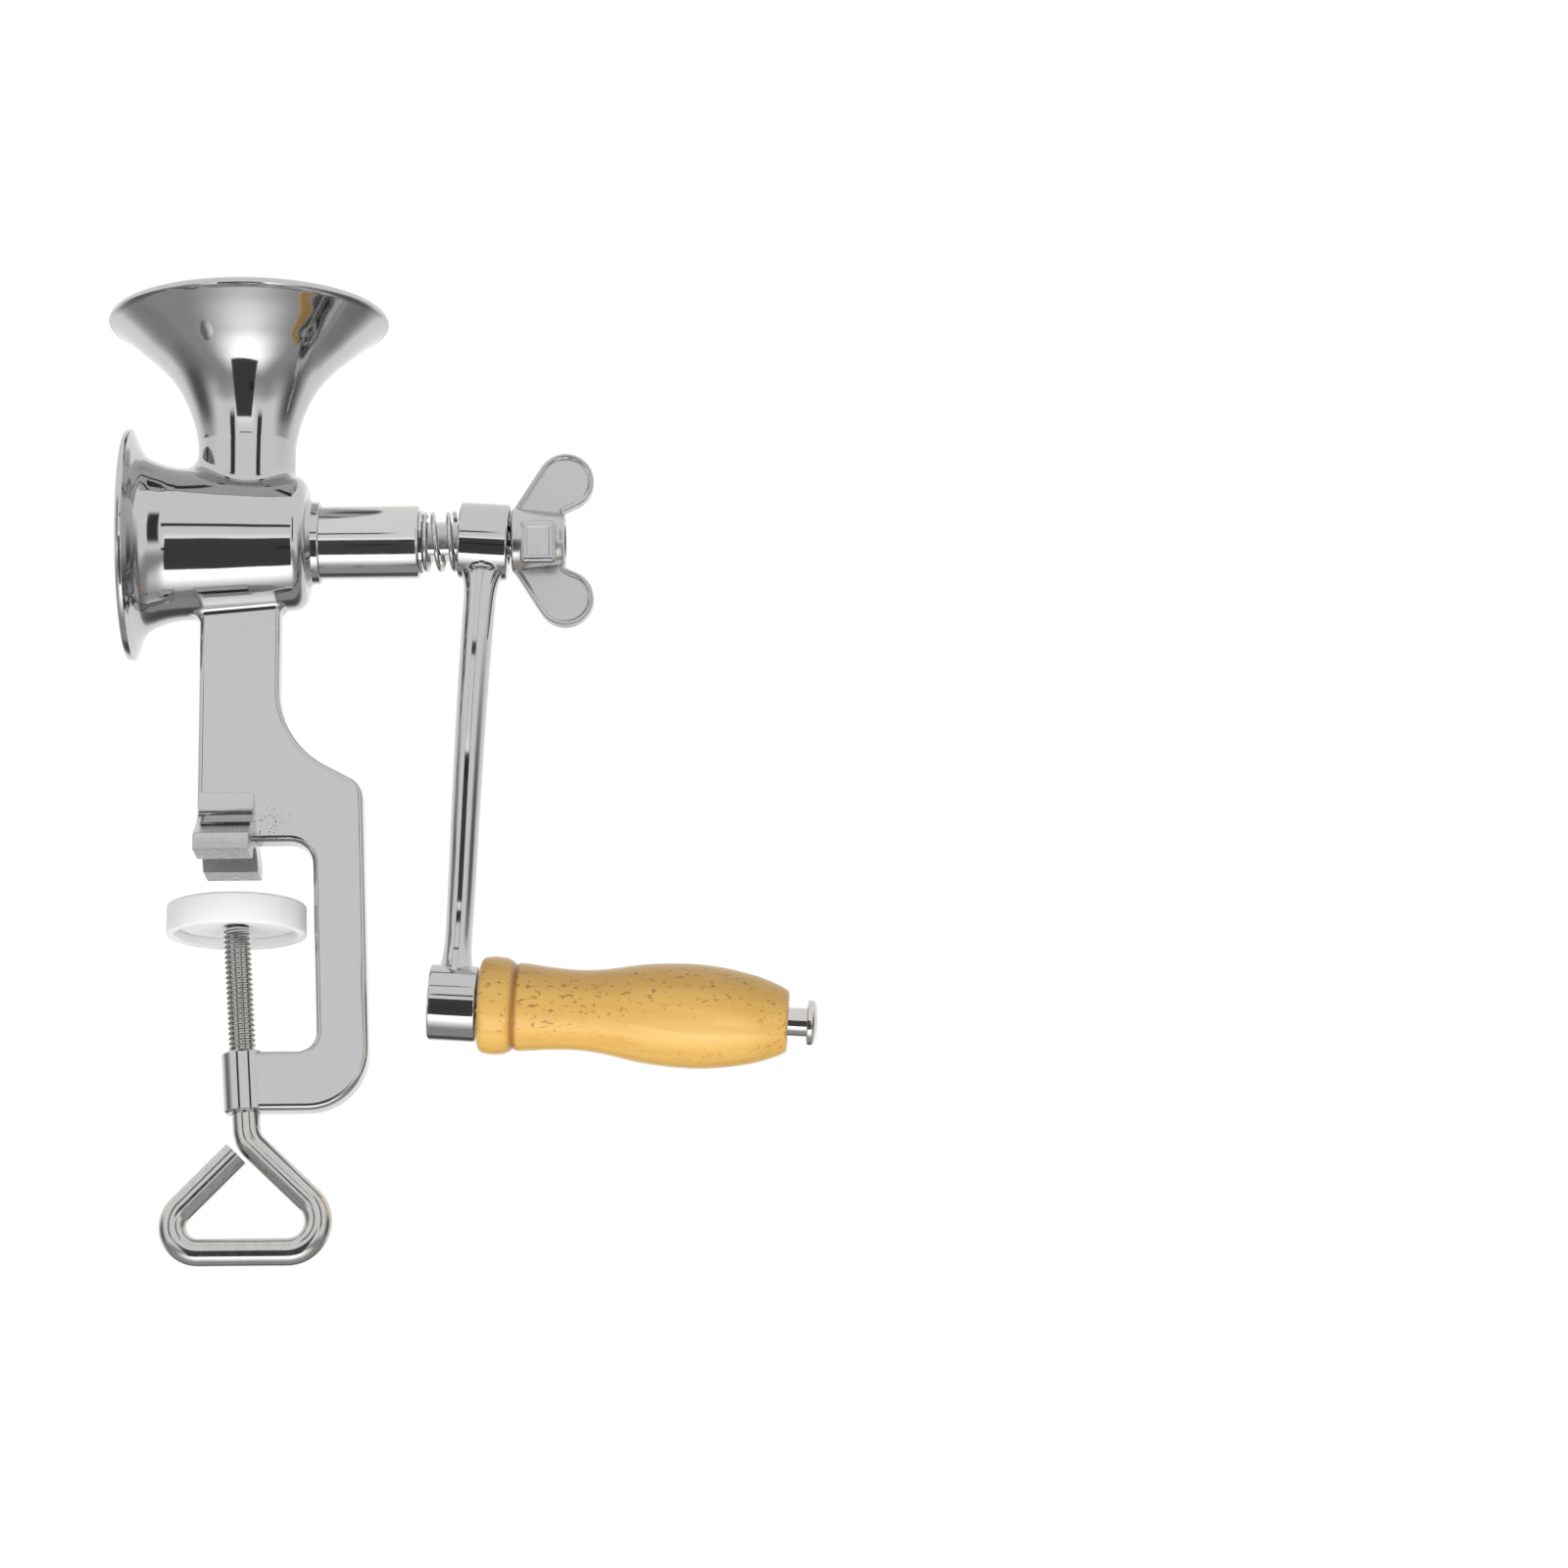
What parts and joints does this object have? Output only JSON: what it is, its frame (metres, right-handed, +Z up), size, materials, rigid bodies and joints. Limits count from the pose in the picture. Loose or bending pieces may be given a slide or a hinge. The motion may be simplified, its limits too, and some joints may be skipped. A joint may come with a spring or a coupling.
{
  "type": "hand grain mill",
  "caption": "Hand-cranked grain mill with a round hopper, toothed burrs behind a flared discharge mouth, a swan-neck crank with a wooden grip and a screw clamp for a table edge.",
  "frame": {"origin": "in the plane of the two foot soles, straight below the middle of the hopper, where the clamp grips the table top", "axes": "+X along the shaft towards the crank, +Z up, +Y across, away from the camera"},
  "size_m": [0.2087, 0.083, 0.2842],
  "materials": {
    "polished_casting": "mirror-polished plated casting",
    "turned_steel": "bright turned steel",
    "burr_steel": "hardened, ground",
    "bronze": "sintered",
    "spring_steel": "plated wire",
    "satin_casting": "satin plated casting",
    "varnished_beech": "clear varnish",
    "milky_plastic": "milky, slightly glossy"
  },
  "bodies": {
    "frame": {"mill_body": "polished_casting", "bearing_sleeve": "turned_steel", "inner_bush": "bronze", "outer_bush": "bronze", "thrust_washer": "burr_steel", "stator_burr": "burr_steel", "stator_dowel_top": "turned_steel", "stator_dowel_bottom": "turned_steel"},
    "drive": {"drive_shaft": "turned_steel", "auger": "burr_steel", "auger_pin": "turned_steel", "rotor_burr": "burr_steel", "burr_cross_pin": "turned_steel", "spring": "spring_steel"},
    "crank": {"crank_arm": "polished_casting", "grip_pin": "turned_steel", "grip_pin_washer": "turned_steel", "grip_pin_nut": "turned_steel"},
    "wing": {"wing_nut": "satin_casting"},
    "grip": {"grip": "varnished_beech"},
    "carrier": {"pad_retaining_ring": "turned_steel"},
    "screw": {"clamp_screw": "turned_steel"},
    "pad": {"clamp_pad": "milky_plastic", "swivel_plate": "milky_plastic"}
  },
  "joints": [
    {"name": "crank_turn", "type": "hinge", "parent": "frame", "child": "drive", "pos_m": [0, 0, 0.097], "axis": [1, 0, 0], "continuous": true},
    {"name": "nut_travel", "type": "slide", "parent": "drive", "child": "crank", "axis": [1, 0, 0], "range_m": [-0.0045, 0.003], "deforming": ["spring"]},
    {"name": "wing_nut_turn", "type": "hinge", "parent": "crank", "child": "wing", "pos_m": [0.0785, 0, 0.097], "axis": [1, 0, 0], "range_deg": [-1080, 720]},
    {"name": "grip_spin", "type": "hinge", "parent": "crank", "child": "grip", "pos_m": [0.06195, 0, -0.04145], "axis": [0.9979, 0, -0.0645], "continuous": true},
    {"name": "clamp_travel", "type": "slide", "parent": "frame", "child": "carrier", "axis": [-0.061, 0, 0.9981], "range_m": [-0.0285, 0.0045]},
    {"name": "clamp_turn", "type": "hinge", "parent": "carrier", "child": "screw", "pos_m": [-0.0012, 0, -0.017], "axis": [-0.061, 0, 0.9981], "range_deg": [-6840, 1080]},
    {"name": "pad_tilt", "type": "hinge", "parent": "carrier", "child": "pad", "pos_m": [-0.0012, 0, -0.017], "axis": [0, 1, 0], "range_deg": [-5, 1.5]}
  ],
  "couplings": [
    {"joint": "wing_nut_turn", "follows": "nut_travel", "rad_per_m": 4188.8},
    {"joint": "clamp_travel", "follows": "clamp_turn", "m_per_rad": 0.00023873}
  ]
}
